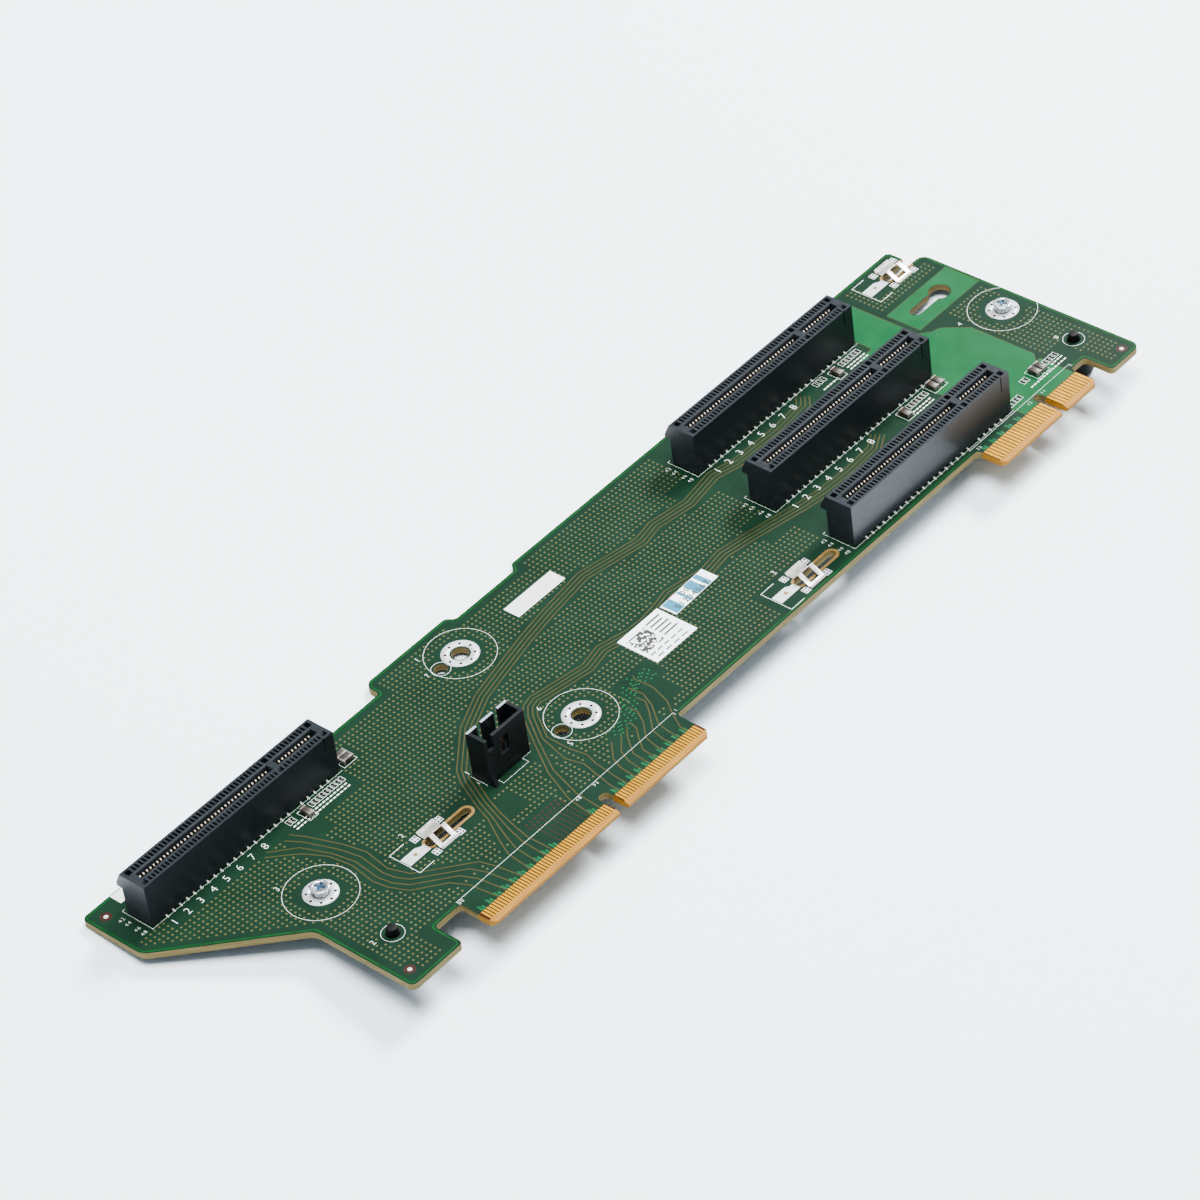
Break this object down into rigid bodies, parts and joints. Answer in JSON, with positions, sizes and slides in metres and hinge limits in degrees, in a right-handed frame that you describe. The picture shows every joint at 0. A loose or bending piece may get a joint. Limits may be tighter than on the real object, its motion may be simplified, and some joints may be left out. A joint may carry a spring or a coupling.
{
  "type": "pcie riser card",
  "caption": "Long riser circuit board with card slots, gold edge connectors, a shrouded power header, shoulder screws, spring clips and rubber bumpers.",
  "frame": {"origin": "centre of the plated mounting hole beside the power header, on the board's top face", "axes": "+X along the board towards the auxiliary edge connector, +Y away from the edge connectors, +Z out of the face that carries the slots"},
  "size_m": [0.2693, 0.071, 0.0201],
  "materials": {
    "solder_mask": "glossy green solder mask over laminate",
    "gold_plating": "bright gold plating",
    "slot_plastic": "satin moulded plastic",
    "header_plastic": "satin moulded plastic",
    "tin_plating": "bright tin plating",
    "screw_steel": "zinc plated",
    "bumper_rubber": "matt black rubber",
    "label_paper": "matt printed paper",
    "chip_ceramic": "satin ceramic"
  },
  "bodies": {
    "root": {"circuit_board": "solder_mask", "main_edge_fingers": "gold_plating", "aux_edge_fingers": "gold_plating", "storage_slot_housing": "slot_plastic", "storage_slot_contacts": "gold_plating", "slot_1_housing": "slot_plastic", "slot_1_contacts": "gold_plating", "slot_2_housing": "slot_plastic", "slot_2_contacts": "gold_plating", "slot_3_housing": "slot_plastic", "slot_3_contacts": "gold_plating", "power_header_housing": "header_plastic", "power_header_pins": "tin_plating", "spring_clip_1": "tin_plating", "spring_clip_2": "tin_plating", "spring_clip_3": "tin_plating", "shoulder_screws": "screw_steel", "screw_nuts": "screw_steel", "rubber_bumper_left": "bumper_rubber", "rubber_bumper_right": "bumper_rubber", "square_label": "label_paper", "strip_label": "label_paper", "storage_slot_capacitors": "chip_ceramic", "slot_1_capacitors": "chip_ceramic", "slot_2_capacitors": "chip_ceramic", "aux_capacitors": "chip_ceramic"}
  },
  "joints": []
}
